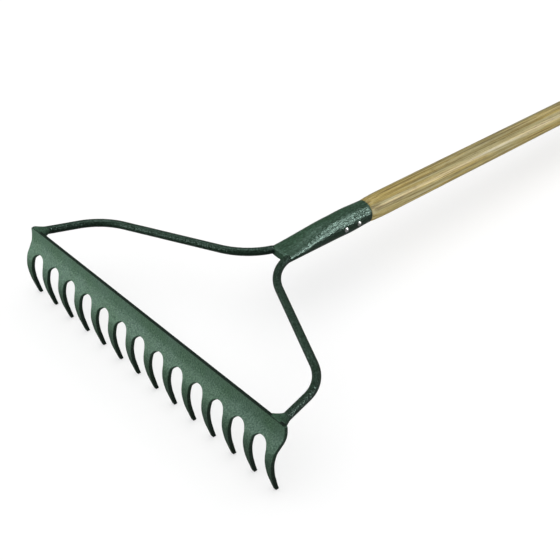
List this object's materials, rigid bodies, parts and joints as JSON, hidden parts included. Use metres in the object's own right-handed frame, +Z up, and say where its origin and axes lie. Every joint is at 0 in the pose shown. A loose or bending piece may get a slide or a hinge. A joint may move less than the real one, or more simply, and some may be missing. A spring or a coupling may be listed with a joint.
{
  "type": "bow rake",
  "caption": "Forged garden rake: a bar of curved tines held at both ends by two bent rods that meet in a riveted steel socket on a long round wooden handle.",
  "frame": {"origin": "on the ground under the middle of the rake's length, with the rake lying on its tine tips and its hand end", "axes": "+X along the tine bar, +Y from the tines to the hand end, +Z up; the handle slopes down towards +Y by 1.88 degrees"},
  "size_m": [0.382, 1.7424, 0.0749],
  "materials": {
    "green_coating": "dark green hammered stove enamel, half gloss",
    "ash_wood": "clear lacquered ash, grain lengthwise",
    "rivet_steel": "bright zinc plated"
  },
  "bodies": {
    "root": {"tine_bar": "green_coating", "bow_rod_left": "green_coating", "bow_rod_right": "green_coating", "weld_left": "green_coating", "weld_right": "green_coating", "nose_weld": "green_coating", "socket": "green_coating", "handle": "ash_wood", "rivet_front": "rivet_steel", "rivet_rear": "rivet_steel"}
  },
  "joints": []
}
